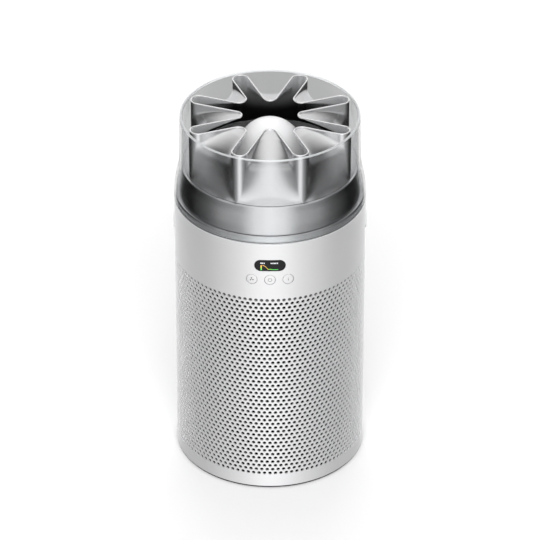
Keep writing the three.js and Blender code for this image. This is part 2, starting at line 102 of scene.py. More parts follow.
def remap(tree, source, low, high):
    """Turns a 0 to 1 factor into the range low to high."""
    node = tree.nodes.new("ShaderNodeMapRange")
    node.inputs["To Min"].default_value = low
    node.inputs["To Max"].default_value = high
    tree.links.new(source, node.inputs["Value"])
    return node.outputs["Result"]


def vary_color(tree, shader, texture, dark, light):
    """Lets the base colour drift between two shades."""
    ramp = tree.nodes.new("ShaderNodeValToRGB")
    ramp.color_ramp.elements[0].position = 0.3
    ramp.color_ramp.elements[0].color = (*dark, 1)
    ramp.color_ramp.elements[1].position = 0.7
    ramp.color_ramp.elements[1].color = (*light, 1)
    tree.links.new(texture.outputs["Fac"], ramp.inputs["Fac"])
    tree.links.new(ramp.outputs["Color"], shader.inputs["Base Color"])


def bump(tree, shader, height, strength, distance):
    node = tree.nodes.new("ShaderNodeBump")
    node.inputs["Strength"].default_value = strength
    node.inputs["Distance"].default_value = distance
    tree.links.new(height, node.inputs["Height"])
    tree.links.new(node.outputs["Normal"], shader.inputs["Normal"])


def grained(name, dark, light, roughness, grain_scale, grain_depth, metallic=0.0, specular=0.5,
            stretch=None):
    """A moulded, painted or cast surface: slight colour drift, varied roughness and a fine grain."""
    material, tree, shader = new_material(name)
    shader.inputs["Metallic"].default_value = metallic
    shader.inputs["Specular IOR Level"].default_value = specular
    drift = noise(tree, 14.0, 2.0)
    vary_color(tree, shader, drift, dark, light)
    grain = noise(tree, grain_scale, 2.0, stretch=stretch)
    rough = remap(tree, grain.outputs["Fac"], roughness[0], roughness[1])
    tree.links.new(rough, shader.inputs["Roughness"])
    bump(tree, shader, grain.outputs["Fac"], 0.25, grain_depth)
    return material


def grey(value):
    return (value, value, value * 1.01)


CLEAR_IOR = 1.22

WHITE_PAINT = grained("white_satin_paint", grey(0.84), grey(0.87), (0.36, 0.42), 2600.0, 0.000012,
                      metallic=0.5, specular=0.6)
WHITE_BUTTON = grained("white_button_plastic", grey(0.84), grey(0.87), (0.36, 0.42), 2400.0, 0.000012,
                       metallic=0.5, specular=0.6)
SILVER = grained("satin_silver", grey(0.80), grey(0.84), (0.13, 0.18), 1800.0, 0.000002, metallic=1.0)
NOZZLE_SILVER = grained("satin_nozzle_silver", grey(0.82), grey(0.86), (0.20, 0.27), 1800.0, 0.000002,
                        metallic=1.0)
# The lip's bead: the nozzle's silver made paler and partly matt, a painted highlight along the lip
LIP_HIGHLIGHT_SILVER = grained("lip_painted_highlight", grey(0.93), grey(0.96), (0.2, 0.26), 1800.0, 0.000001, metallic=0.8)
PALE_SILVER = grained("pale_cone_paint", grey(0.62), grey(0.65), (0.4, 0.48), 1800.0, 0.000008, metallic=0.1)
BLACK_PLASTIC = grained("black_grained_plastic", grey(0.012), grey(0.018), (0.42, 0.6), 1500.0, 0.00005)
GREY_PLASTIC = grained("grey_fan_plastic", grey(0.20), grey(0.24), (0.35, 0.5), 1500.0, 0.00004)
RUBBER = grained("black_rubber", grey(0.010), grey(0.016), (0.7, 0.9), 1200.0, 0.00008, specular=0.3)
STEEL = grained("zinc_plated_steel", (0.55, 0.55, 0.56), (0.66, 0.66, 0.67), (0.25, 0.4), 900.0, 0.00002,
                metallic=1.0, stretch=(1, 1, 6))
MAGNET = grained("sintered_magnet", grey(0.10), grey(0.14), (0.5, 0.7), 900.0, 0.00004, metallic=0.8)
PREFILTER = grained("prefilter_weave", grey(0.010), grey(0.020), (0.85, 1.0), 900.0, 0.00015, specular=0.1)
FOAM = grained("acoustic_foam", grey(0.02), grey(0.05), (0.95, 1.0), 400.0, 0.0006, specular=0.1)
ICON_GREY = grained("printed_grey", grey(0.10), grey(0.13), (0.5, 0.6), 1500.0, 0.00001)
ICON_PALE = grained("printed_pale_grey", grey(0.22), grey(0.26), (0.5, 0.6), 1500.0, 0.00001)


def clear_plastic():
    material, tree, shader = new_material("clear_polished_plastic")
    shader.inputs["Transmission Weight"].default_value = 1.0
    shader.inputs["IOR"].default_value = CLEAR_IOR
    wear = noise(tree, 60.0, 2.0)
    vary_color(tree, shader, wear, (0.965, 0.975, 0.98), (0.985, 0.99, 0.992))
    tree.links.new(remap(tree, wear.outputs["Fac"], 0.0, 0.03), shader.inputs["Roughness"])
    return material


def display_glass():
    material, tree, shader = new_material("display_black_glass")
    shader.inputs["Specular IOR Level"].default_value = 0.3
    smudge = noise(tree, 90.0, 3.0)
    vary_color(tree, shader, smudge, (0.004, 0.004, 0.005), (0.008, 0.008, 0.009))
    tree.links.new(remap(tree, smudge.outputs["Fac"], 0.08, 0.2), shader.inputs["Roughness"])
    return material


def pleated_paper():
    material, tree, shader = new_material("pleated_filter_paper")
    fibres = noise(tree, 700.0, 5.0, 0.7)
    vary_color(tree, shader, fibres, (0.74, 0.72, 0.66), (0.86, 0.85, 0.80))
    tree.links.new(remap(tree, fibres.outputs["Fac"], 0.85, 1.0), shader.inputs["Roughness"])
    shader.inputs["Sheen Weight"].default_value = 0.3
    bump(tree, shader, fibres.outputs["Fac"], 0.4, 0.0001)
    return material


def carbon_cloth():
    material, tree, shader = new_material("carbon_granule_cloth")
    coordinates = tree.nodes.new("ShaderNodeTexCoord")
    granules = tree.nodes.new("ShaderNodeTexVoronoi")
    granules.inputs["Scale"].default_value = 700.0
    tree.links.new(coordinates.outputs["Object"], granules.inputs["Vector"])
    ramp = tree.nodes.new("ShaderNodeValToRGB")
    ramp.color_ramp.elements[0].color = (0.03, 0.03, 0.03, 1)
    ramp.color_ramp.elements[1].color = (0.008, 0.008, 0.009, 1)
    tree.links.new(granules.outputs["Distance"], ramp.inputs["Fac"])
    tree.links.new(ramp.outputs["Color"], shader.inputs["Base Color"])
    shader.inputs["Roughness"].default_value = 0.8
    bump(tree, shader, granules.outputs["Distance"], 0.6, 0.0004)
    return material


def circuit_board():
    material, tree, shader = new_material("green_circuit_board")
    coordinates = tree.nodes.new("ShaderNodeTexCoord")
    tracks = tree.nodes.new("ShaderNodeTexBrick")
    tracks.inputs["Scale"].default_value = 220.0
    tracks.inputs["Mortar Size"].default_value = 0.03
    tracks.inputs["Color1"].default_value = (0.012, 0.075, 0.035, 1)
    tracks.inputs["Color2"].default_value = (0.014, 0.085, 0.04, 1)
    tracks.inputs["Mortar"].default_value = (0.03, 0.14, 0.07, 1)
    tree.links.new(coordinates.outputs["Object"], tracks.inputs["Vector"])
    tree.links.new(tracks.outputs["Color"], shader.inputs["Base Color"])
    shader.inputs["Roughness"].default_value = 0.35
    bump(tree, shader, tracks.outputs["Fac"], 0.3, 0.00005)
    return material


def copper_winding():
    material, tree, shader = new_material("copper_winding")
    shader.inputs["Metallic"].default_value = 1.0
    coordinates = tree.nodes.new("ShaderNodeTexCoord")
    turns = tree.nodes.new("ShaderNodeTexWave")
    turns.bands_direction = "Z"
    turns.inputs["Scale"].default_value = 320.0
    turns.inputs["Distortion"].default_value = 0.6
    tree.links.new(coordinates.outputs["Object"], turns.inputs["Vector"])
    ramp = tree.nodes.new("ShaderNodeValToRGB")
    ramp.color_ramp.elements[0].color = (0.30, 0.11, 0.04, 1)
    ramp.color_ramp.elements[1].color = (0.72, 0.32, 0.14, 1)
    tree.links.new(turns.outputs["Fac"], ramp.inputs["Fac"])
    tree.links.new(ramp.outputs["Color"], shader.inputs["Base Color"])
    shader.inputs["Roughness"].default_value = 0.35
    bump(tree, shader, turns.outputs["Fac"], 0.6, 0.0003)
    return material


def clear_plastic_with_painted_highlight(name, transmission, roughness, dark, light):
    """Clear plastic that lets part of the light through and scatters the rest off a pale matt share, a
    painted highlight.
    """
    material, tree, shader = new_material(name)
    shader.inputs["Transmission Weight"].default_value = transmission
    shader.inputs["IOR"].default_value = CLEAR_IOR
    grain = noise(tree, 1500.0, 2.0)
    vary_color(tree, shader, grain, dark, light)
    low, high = roughness
    tree.links.new(remap(tree, grain.outputs["Fac"], low, high), shader.inputs["Roughness"])
    return material


def silver_with_painted_shade():
    """The nozzle's inner faces: silver at the lip, fading to black down in the duct, a painted shade for the
    deep slots.
    """
    black_at = 0.405
    silver_at = 0.449
    material, tree, shader = new_material("nozzle_inside_painted_shade")
    coordinates = tree.nodes.new("ShaderNodeTexCoord")
    split = tree.nodes.new("ShaderNodeSeparateXYZ")
    tree.links.new(coordinates.outputs["Object"], split.inputs[0])
    shade = tree.nodes.new("ShaderNodeMapRange")
    shade.interpolation_type = "SMOOTHSTEP"
    shade.inputs["From Min"].default_value = black_at
    shade.inputs["From Max"].default_value = silver_at
    tree.links.new(split.outputs["Z"], shade.inputs["Value"])
    mix = tree.nodes.new("ShaderNodeMix")
    mix.data_type = "RGBA"
    # The black end is painted shade deep in the duct; the silver end is the nozzle's own colour
    mix.inputs["A"].default_value = (0.012, 0.012, 0.013, 1)
    mix.inputs["B"].default_value = (0.84, 0.85, 0.86, 1)
    tree.links.new(shade.outputs["Result"], mix.inputs["Factor"])
    tree.links.new(mix.outputs["Result"], shader.inputs["Base Color"])
    shader.inputs["Metallic"].default_value = 0.7
    grain = noise(tree, 1800.0, 2.0)
    tree.links.new(remap(tree, grain.outputs["Fac"], 0.32, 0.4), shader.inputs["Roughness"])
    return material


def emissive(name, color, strength):
    """A lit mark on the screen."""
    material, tree, shader = new_material(name)
    shimmer = noise(tree, 1200.0, 1.0)
    dim = tuple(c * 0.85 for c in color)
    vary_color(tree, shader, shimmer, dim, color)
    shader.inputs["Emission Color"].default_value = (*color, 1)
    shader.inputs["Emission Strength"].default_value = strength
    return material


# Silver that fades to black down the nozzle's inside: painted shade
NOZZLE_INSIDE_PAINTED_SHADE = silver_with_painted_shade()
CLEAR = clear_plastic()
# Pale matt shares on the shell's lip and flared foot: painted highlights
CLEAR_RIM_PAINTED_HIGHLIGHT = clear_plastic_with_painted_highlight("clear_rim_painted_highlight", 0.6, (0.35, 0.5), (0.80, 0.82, 0.83), (0.88, 0.90, 0.91))
CLEAR_FOOT_PAINTED_HIGHLIGHT = clear_plastic_with_painted_highlight("clear_foot_painted_highlight", 0.9, (0.03, 0.06), (0.92, 0.95, 0.96), (0.95, 0.98, 0.99))
DISPLAY_GLASS = display_glass()

# ---- Mesh helpers. All take millimetres ----


def build(name, vertices, faces, material, body, slot, replaced=(), outward=None, others=()):
    """Makes the object in metres, smooth but sharp at real edges, and ties it to its body.
    outward gives a face's true normals at its corners, or None to leave them to Blender. others holds
    further materials, each with the first and last face that wear it."""
    mesh = bpy.data.meshes.new(name)
    mesh.from_pydata((np.asarray(vertices, float) * MM).tolist(), [], faces)
    mesh.update()
    mesh.shade_smooth()
    mesh.set_sharp_from_angle(angle=math.radians(32))
    if outward is not None:
        mesh.normals_split_custom_set(outward(mesh))
    piece = bpy.data.objects.new(name, mesh)
    bpy.context.scene.collection.objects.link(piece)
    mesh.materials.append(material)
    for index, (other, first_face, last_face) in enumerate(others, 1):
        mesh.materials.append(other)
        for face in mesh.polygons[first_face:last_face]:
            face.material_index = index
    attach(piece, body)
    if replaced:
        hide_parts(*replaced)
    return piece


def rounded(points, steps=5):
    """A profile whose corners are [r, z, fillet]; each fillet becomes an arc tangent to both sides."""
    result = []
    count = len(points)
    for k, (r, z, fillet) in enumerate(points):
        here = Vector((r, z))
        before = Vector(points[k - 1][:2]) - here
        after = Vector(points[(k + 1) % count][:2]) - here
        if fillet == 0:
            result.append((r, z))
            continue
        angle = before.angle(after)
        reach = min(fillet / math.tan(angle / 2), 0.49 * before.length, 0.49 * after.length)
        radius = reach * math.tan(angle / 2)
        start = here + before.normalized() * reach
        end = here + after.normalized() * reach
        inwards = (before.normalized() + after.normalized()).normalized()
        centre = here + inwards * (radius / math.sin(angle / 2))
        a = start - centre
        b = end - centre
        sweep = a.angle(b)
        for i in range(steps + 1):
            t = i / steps
            mix = (a * math.sin((1 - t) * sweep) + b * math.sin(t * sweep)) / math.sin(sweep)
            result.append(tuple(centre + mix))
    return result


def curve_through(points, steps=6):
    """A smooth curve through the given points (Catmull-Rom)."""
    result = []
    padded = [points[0], *points, points[-1]]
    for k in range(1, len(padded) - 2):
        p0, p1, p2, p3 = (np.array(p, float) for p in padded[k - 1:k + 3])
        for i in range(steps):
            t = i / steps
            result.append(tuple(0.5 * (2 * p1 + (p2 - p0) * t + (2 * p0 - 5 * p1 + 4 * p2 - p3) * t ** 2
                                       + (3 * p1 - p0 - 3 * p2 + p3) * t ** 3)))
    result.append(tuple(points[-1]))
    return result


def turn(profile, segments=216):
    """Vertices and faces of a closed profile [(r, z), ...] turned round Z, outer side first, going up."""
    angles = np.arange(segments) * TURN / segments
    vertices = []
    rings = []
    for r, z in profile:
        if r < 1e-6:
            rings.append([len(vertices)] * segments)
            vertices.append((0.0, 0.0, z))
            continue
        rings.append(list(range(len(vertices), len(vertices) + segments)))
        vertices += [(r * math.sin(a), -r * math.cos(a), z) for a in angles]
    faces = []
    for low, high in zip(rings, rings[1:] + rings[:1]):
        for i in range(segments):
            j = (i + 1) % segments
            face = [low[i], low[j], high[j], high[i]]
            face = [v for n, v in enumerate(face) if v != face[n - 1]]
            if len(face) > 2:
                faces.append(face)
    return vertices, faces


def around(points, azimuth, height):
    """Wraps local (across, up, out) points onto the casing's surface, out being measured from BODY_R."""
    result = []
    for across, up, out in points:
        angle = azimuth + across / BODY_R
        radius = BODY_R + out
        result.append((radius * math.sin(angle), -radius * math.cos(angle), height + up))
    return result


# ---- Casing ----

HOLES_PER_ROW = 108
ROWS = 46
HOLE_R = 2.15
ROW_PITCH = 5.43
TOP_ROW_Z = 266.1
PITCH = TURN * BODY_R / HOLES_PER_ROW
MESH_TOP = TOP_ROW_Z + ROW_PITCH / 2
MESH_BOTTOM = TOP_ROW_Z - (ROWS - 0.5) * ROW_PITCH
HOLE_SIDES = 12
SEGMENTS = 2 * HOLES_PER_ROW


def radial_normals(mesh):
    """True normals for the faces that lie on the casing's outer and inner cylinders."""
    normals = []
    for face in mesh.polygons:
        out = Vector((face.center.x, face.center.y, 0))
        level = abs(face.normal.z) < 0.02 and abs(face.normal.dot(out.normalized())) > 0.999
        sign = 1 if face.normal.dot(out) > 0 else -1
        for v in face.vertices:
            co = mesh.vertices[v].co
            normals.append(sign * Vector((co.x, co.y, 0)).normalized() if level else Vector((0, 0, 0)))
    return normals


def perforated_sheet(name, first_row, last_row):
    """Rows of staggered round holes through a curved sheet, as one closed solid."""
    surfaces = [BODY_R, BODY_R - CASING_WALL]
    rows = last_row - first_row + 1
    points = []

    def add(across, z, radius):
        angle = across / BODY_R
        points.append((radius * math.sin(angle), -radius * math.cos(angle), z))
        return len(points) - 1

    top = TOP_ROW_Z - (first_row - 0.5) * ROW_PITCH
    lines = [[[add(i * PITCH / 2, top - line * ROW_PITCH, radius) for i in range(SEGMENTS)]
              for line in range(rows + 1)] for radius in surfaces]
    faces = []
    for row in range(rows):
        z = TOP_ROW_Z - (first_row + row) * ROW_PITCH
        offset = 1 - (first_row + row) % 2
        sides = [[add((2 * j + offset - 1) * PITCH / 2, z, radius) for j in range(HOLES_PER_ROW)]
                 for radius in surfaces]
        for j in range(HOLES_PER_ROW):
            middle = (2 * j + offset) * PITCH / 2
            circles = []
            for s, radius in enumerate(surfaces):
                circle = []
                for k in range(HOLE_SIDES):
                    a = k * TURN / HOLE_SIDES
                    circle.append(add(middle + HOLE_R * math.cos(a), z + HOLE_R * math.sin(a), radius))
                circles.append(circle)
                left = (2 * j + offset - 1) % SEGMENTS
                centre = (left + 1) % SEGMENTS
                right = (left + 2) % SEGMENTS
                upper = lines[s][row]
                lower = lines[s][row + 1]
                rim = [sides[s][(j + 1) % HOLES_PER_ROW], upper[right], upper[centre], upper[left],
                       sides[s][j], lower[left], lower[centre], lower[right]]
                for q in range(4):
                    b0, b1, b2 = rim[2 * q], rim[2 * q + 1], rim[(2 * q + 2) % 8]
                    c0, c1, c2, c3 = (circle[(3 * q + n) % HOLE_SIDES] for n in range(4))
                    patch = [[b0, b1, c1, c0], [b1, c2, c1], [b1, b2, c3, c2]]
                    faces.extend(p if s == 0 else p[::-1] for p in patch)
            outer, inner = circles
            for k in range(HOLE_SIDES):
                n = (k + 1) % HOLE_SIDES
                faces.append([outer[n], inner[n], inner[k], outer[k]])
    for line, flip in ((0, False), (rows, True)):
        for i in range(SEGMENTS):
            n = (i + 1) % SEGMENTS
            face = [lines[0][line][i], lines[0][line][n], lines[1][line][n], lines[1][line][i]]
            faces.append(face[::-1] if flip else face)
    return build(name, points, faces, WHITE_PAINT, "body", "white_casing", ("outer_casing",), radial_normals)


def pill_outline(width, height, steps=24):
    """A stadium's outline, counter-clockwise, as (across, up)."""
    radius = min(width, height) / 2
    reach_x = width / 2 - radius
    reach_y = height / 2 - radius
    points = []
    for k in range(4 * steps):
        a = (k + 0.5) * TURN / (4 * steps)
        x = radius * math.cos(a) + (reach_x if math.cos(a) > 0 else -reach_x)
        y = radius * math.sin(a) + (reach_y if math.sin(a) > 0 else -reach_y)
        points.append((x, y))
    return points


def wrapped_prism(outline, out_low, out_high, azimuth, height):
    """A cutter or block: an outline wrapped round the casing, between two distances from its surface."""
    count = len(outline)
    low = around([(x, y, out_low) for x, y in outline], azimuth, height)
    high = around([(x, y, out_high) for x, y in outline], azimuth, height)
    faces = [[k, (k + 1) % count, count + (k + 1) % count, count + k] for k in range(count)]
    faces += [list(range(count))[::-1], list(range(count, 2 * count))]
    return low + high, faces


def through_wall(outline, azimuth, height):
    """A cutter that passes right through the casing's wall."""
    return wrapped_prism(outline, -4, 3, azimuth, height)


def rectangle(left, low, right, high):
    return [(left, low), (right, low), (right, high), (left, high)]


def working_object(name, vertices, faces):
    """An object to cut with or to be cut, which is no piece of the purifier."""
    mesh = bpy.data.meshes.new(name)
    mesh.from_pydata((np.asarray(vertices) * MM).tolist(), [], faces)
    thing = bpy.data.objects.new(name, mesh)
    bpy.context.scene.collection.objects.link(thing)
    return thing


def solid_band(name, profile, cutters, material, slot, replaced, outward=radial_normals):
    """A turned ring with wrapped openings cut through it."""
    ring = working_object("uncut_ring", *turn(profile, SEGMENTS))
    tools = [working_object("tool", *cutter) for cutter in cutters]
    for tool in tools:
        modifier = ring.modifiers.new("cut", "BOOLEAN")
        modifier.operation = "DIFFERENCE"
        modifier.solver = "EXACT"
        modifier.object = tool
    bpy.context.view_layer.update()
    evaluated = ring.evaluated_get(bpy.context.evaluated_depsgraph_get())
    result = evaluated.to_mesh()
    points = [tuple(v.co / MM) for v in result.vertices]
    faces = [list(p.vertices) for p in result.polygons]
    evaluated.to_mesh_clear()
    for leftover in [ring, *tools]:
        bpy.data.meshes.remove(leftover.data)
    return build(name, points, faces, material, "body", slot, replaced, outward)


WALL_GAP = 0.3
BUTTON_R = 6.15
BUTTON_GAP = 0.55
BUTTON_SPACING = 21.3 / BODY_R
DISPLAY_W = corners("display_window")[1].x * 2
DISPLAY_H = corners("display_window")[1].z - corners("display_window")[0].z
DISPLAY_GAP = 0.25
DISPLAY_Z = middle_height("display_window")
BUTTON_Z = middle_height("power_button")
RELEASE_Z = middle_height("release_button_right")
RELEASE_W = 14
RELEASE_H = 25
SOCKET_Z = middle_height("inlet_socket")
CONTROLS = {"fan_speed": -BUTTON_SPACING, "power": 0.0, "info": BUTTON_SPACING}
SIDES = {"right": math.pi / 2, "left": -math.pi / 2}
BACK = math.pi


def make_casing():
    """A plain band with the controls, the perforated sheet in two halves, and a plain band at the foot."""
    inner = BODY_R - CASING_WALL
    band = rounded([(inner, MESH_TOP, 0), (BODY_R, MESH_TOP, 0), (BODY_R, CASING_TOP, 0.9),
                    (inner, CASING_TOP, 0.3)])
    window = pill_outline(DISPLAY_W + 2 * DISPLAY_GAP, DISPLAY_H + 2 * DISPLAY_GAP)
    button_hole = pill_outline(2 * (BUTTON_R + BUTTON_GAP), 2 * (BUTTON_R + BUTTON_GAP), 12)
    release_hole = pill_outline(RELEASE_W + 2 * WALL_GAP, RELEASE_H + 2 * WALL_GAP)
    cutters = [through_wall(window, 0, DISPLAY_Z)]
    cutters += [through_wall(button_hole, azimuth, BUTTON_Z) for azimuth in CONTROLS.values()]
    cutters += [through_wall(release_hole, azimuth, RELEASE_Z) for azimuth in SIDES.values()]
    solid_band("casing_band", band, cutters, WHITE_PAINT, "white_casing", ("outer_casing",))
    base = rounded([(inner, CASING_BOTTOM, 0.2), (BODY_R, CASING_BOTTOM, 0.5), (BODY_R, MESH_BOTTOM, 0),
                    (inner, MESH_BOTTOM, 0)])
    socket_hole = rectangle(-7.3, -5.1, 7.3, 5.1)
    solid_band("casing_base_band", base, [through_wall(socket_hole, BACK, SOCKET_Z)], WHITE_PAINT,
               "white_casing", ("outer_casing",))
    half = ROWS // 2
    perforated_sheet("casing_upper_mesh", 0, half - 1)
    perforated_sheet("casing_lower_mesh", half, ROWS - 1)


def make_base():
    """The rubber ring it stands on, and the dark sleeve that shows through the perforations."""
    foot = rounded([(92, 0, 0.8), (FOOT_R, 0, 0.9), (FOOT_R, FOOT_TOP, 0.4), (92, FOOT_TOP, 0.3)])
    build("rubber_foot", *turn(foot), RUBBER, "body", "foot_rubber", ("foot_ring",))
    sleeve = rounded([(103.6, 21, 0), (104.6, 21, 0), (104.6, 259, 0), (103.6, 259, 0)])
    build("prefilter_mesh_sleeve", *turn(sleeve), PREFILTER, "body", "prefilter_mesh", ("prefilter_sleeve",))


# ---- Controls ----


def cap(name, outline, rings, material, body, slot, replaced, azimuth, height):
    """A button: an outline shrunk and moved ring by ring, as (inset, out), then closed at both ends."""
    count = len(outline)
    points = []
    for inset, out in rings:
        for x, y in outline:
            length = math.hypot(x, y)
            share = (length - inset) / length
            points.append((x * share, y * share, out))
    faces = []
    for level in range(len(rings) - 1):
        for k in range(count):
            n = (k + 1) % count
            a = level * count
            faces.append([a + k, a + n, a + count + n, a + count + k])
    last = (len(rings) - 1) * count
    faces += [list(range(count))[::-1], list(range(last, last + count))]
    return build(name, around(points, azimuth, height), faces, material, body, slot, replaced)


def rounded_edge(out_top, radius, steps=5):
    """Rings (inset, out) of a rounded front edge."""
    return [(radius * (1 - math.cos(t)), out_top - radius + radius * math.sin(t))
            for t in np.linspace(0, math.pi / 2, steps + 1)]


def plate(name, outline, material, body, slot, azimuth, height, out):
    """A thin printed mark standing just proud of the surface at the distance out."""
    vertices, faces = wrapped_prism(outline, out, out + PRINT_DEPTH, azimuth, height)
    return build(name, vertices, faces, material, body, slot)


def ring_sector(inner_r, outer_r, start, end, steps=40):
    """The outline of part of a flat ring, angles counter-clockwise from the right."""
    angles = np.linspace(start, end, steps)
    outer = [(outer_r * math.cos(a), outer_r * math.sin(a)) for a in angles]
    inner = [(inner_r * math.cos(a), inner_r * math.sin(a)) for a in angles[::-1]]
    return outer + inner


def blade_outline(turned_by, reach=2.5, root=0.35, width=0.95):
    """One rounded fan blade of the fan icon, leaning forwards."""
    points = []
    for k in range(20):
        t = k * TURN / 20
        along = root + (reach - root) * (0.5 - 0.5 * math.cos(t))
        across = width * math.sin(t) * (0.35 + 0.65 * (along / reach))
        angle = turned_by + 0.22 * along / reach
        points.append((along * math.cos(angle) - across * math.sin(angle),
                       along * math.sin(angle) + across * math.cos(angle)))
    return points


PRINT_DEPTH = 0.04
BUTTON_FACE_OUT = -0.05
STEM_FACE = -corners("power_button")[1].y


def make_buttons():
    face = pill_outline(2 * BUTTON_R, 2 * BUTTON_R, 16)
    for name, azimuth in CONTROLS.items():
        stem_end = STEM_FACE / math.cos(azimuth) - BODY_R
        stem = [(BUTTON_R - 2, stem_end), (BUTTON_R - 2, -3.8)]
        flange = [(-1.3, -3.8), (-1.3, -2.4), (0, -2.4)]
        front = [*rounded_edge(BUTTON_FACE_OUT, 0.35), (BUTTON_R * 0.5, BUTTON_FACE_OUT)]
        cap(f"{name}_push_button", face, stem + flange + front, WHITE_BUTTON, f"{name}_button",
            "white_button", (f"{name}_button",), azimuth, BUTTON_Z)


def make_icons():
    """A fan, a power sign and an i, one on each button."""
    def mark(name, control, outline, material, rise=0.0):
        plate(name, outline, material, f"{control}_button", "white_button", CONTROLS[control],
              BUTTON_Z + rise, BUTTON_FACE_OUT)

    for k in range(3):
        mark(f"fan_icon_blade_{k + 1}", "fan_speed", blade_outline(math.pi / 2 + k * TURN / 3), ICON_GREY)
    gap = 0.5
    ring = ring_sector(1.9, 2.5, math.pi / 2 + gap, math.pi / 2 + TURN - gap)
    mark("power_icon_ring", "power", ring, ICON_PALE)
    mark("power_icon_bar", "power", rectangle(-0.28, 0.6, 0.28, 2.9), ICON_PALE)
    mark("info_icon_dot", "info", pill_outline(0.75, 0.75, 5), ICON_PALE, 1.7)
    mark("info_icon_stem", "info", pill_outline(0.7, 2.6, 5), ICON_PALE, -0.7)


def make_release_buttons():
    """The paddle on each side that lets the head go."""
    face = pill_outline(RELEASE_W, RELEASE_H)
    for name, azimuth in SIDES.items():
        flange = [(3, -4.4), (-1.5, -4.4), (-1.5, -2.6), (0, -2.6)]
        rings = [*flange, *rounded_edge(1.2, 0.7), (3, 1.2)]
        cap(f"release_paddle_{name}", face, rings, WHITE_PAINT, f"release_{name}", "white_plastic",
            (f"release_button_{name}",), azimuth, RELEASE_Z)


# ---- Head ----


def make_shell():
    """The clear shell, from its round lip down to the flared foot that meets the casing."""
    outer = curve_through([(BODY_R, HEAD_Z + 0.2), (BODY_R - 0.05, 350), (110.9, 361), (108.9, 372.5),
                           (106.9, 382.5), (105.8, 390), (105.2, 405), (104.8, 425), (104.5, 448.6)], 8)
    lip = [(104.3, 449.5), (103.8, 449.9), (103.0, HEIGHT), (102.2, 449.9), (101.7, 449.5)]
    inner = curve_through([(101.5, 448.6), (101.8, 425), (102.2, 405), (102.8, 390), (103.9, 382.0),
                           (105.9, 372), (107.8, 361), (108.95, 350), (109, HEAD_Z + 0.6)], 8)
    foot = [(109.2, HEAD_Z + 0.1), (109.6, HEAD_Z), (111.6, HEAD_Z), (111.85, HEAD_Z + 0.03)]
    segments = 256
    # The lip and the flared foot wear the paler plastic, painted highlights on the shell
    rim = (CLEAR_RIM_PAINTED_HIGHLIGHT, (len(outer) - 1) * segments, (len(outer) + len(lip)) * segments)
    flange = (CLEAR_FOOT_PAINTED_HIGHLIGHT, 0, sum(z < 350.5 for _, z in outer) * segments)
    build("nozzle_clear_shell", *turn(outer + lip + inner + foot, segments), CLEAR, "head",
          "clear_plastic", ("clear_shell",), others=(rim, flange))


def make_collar():
    """The silver collar under the nozzle, and the ring it seats on."""
    top = corners("nozzle_collar")[1].z
    outer = curve_through([(106.2, 351.9), (105.5, 360), (104.2, 369), (102.8, 378), (101.9, top - 0.7)], 6)
    profile = [(105.3, 351.0), (105.9, 351.25), *outer, (101.5, top - 0.1), (101.1, top), (98, top),
               (98, 351)]
    build("nozzle_collar_ring", *turn(profile), SILVER, "head", "nozzle_silver", ("nozzle_collar",))
    ring_top = corners("head_base_ring")[1].z
    seat = rounded([(95, HEAD_Z, 0.4), (108.6, HEAD_Z, 0.4), (108.6, ring_top, 0.8), (95, ring_top, 0.5)])
    build("nozzle_seat_ring", *turn(seat), SILVER, "head", "nozzle_silver", ("head_base_ring",))


# In plan the nozzle is eight slots with rounded ends, in four pairs. A trough reaches in from the rim
# between neighbouring slots: one on each axis and one on each diagonal.
SLOT_ANGLE = math.radians(20.85)
SLOT_OFFSET = 2.77
SLOT_HALF = 10.0
SLOT_REACH = 99.3
NOZZLE_WALL = 1.3
BEAD_R = 0.9
SLOT_END_X = (SLOT_REACH - SLOT_HALF) * math.cos(SLOT_ANGLE) - SLOT_OFFSET * math.sin(SLOT_ANGLE)
SLOT_END_Y = (SLOT_REACH - SLOT_HALF) * math.sin(SLOT_ANGLE) + SLOT_OFFSET * math.cos(SLOT_ANGLE)
AXIS_TROUGH = {"half_angle": SLOT_ANGLE, "wall_offset": SLOT_HALF - SLOT_OFFSET, "tip_r": 7.2,
               "slot_end": (SLOT_END_X, SLOT_END_Y)}
DIAGONAL_TROUGH = {"half_angle": math.pi / 4 - SLOT_ANGLE, "wall_offset": SLOT_HALF + SLOT_OFFSET,
                   "tip_r": 8.5, "slot_end": ((SLOT_END_X + SLOT_END_Y) / math.sqrt(2),
                                              (SLOT_END_X - SLOT_END_Y) / math.sqrt(2))}

# How far the floor of the axis troughs lies from the centre line, as (distance, height). From the round foot
# it rises almost straight, then slopes gently in to the inner tip.
TROUGH_FLOOR = curve_through([(99.4, 386.8), (95.0, 389.6), (90.5, 394), (86, 405), (83, 417), (81, 427),
                              (76.5, 433), (68.5, 438), (57, 443), (44, 447), (33.3, HEIGHT)], 4)


def floor_at(z):
    distances, heights = zip(*TROUGH_FLOOR)
    return float(np.interp(z, heights, distances))


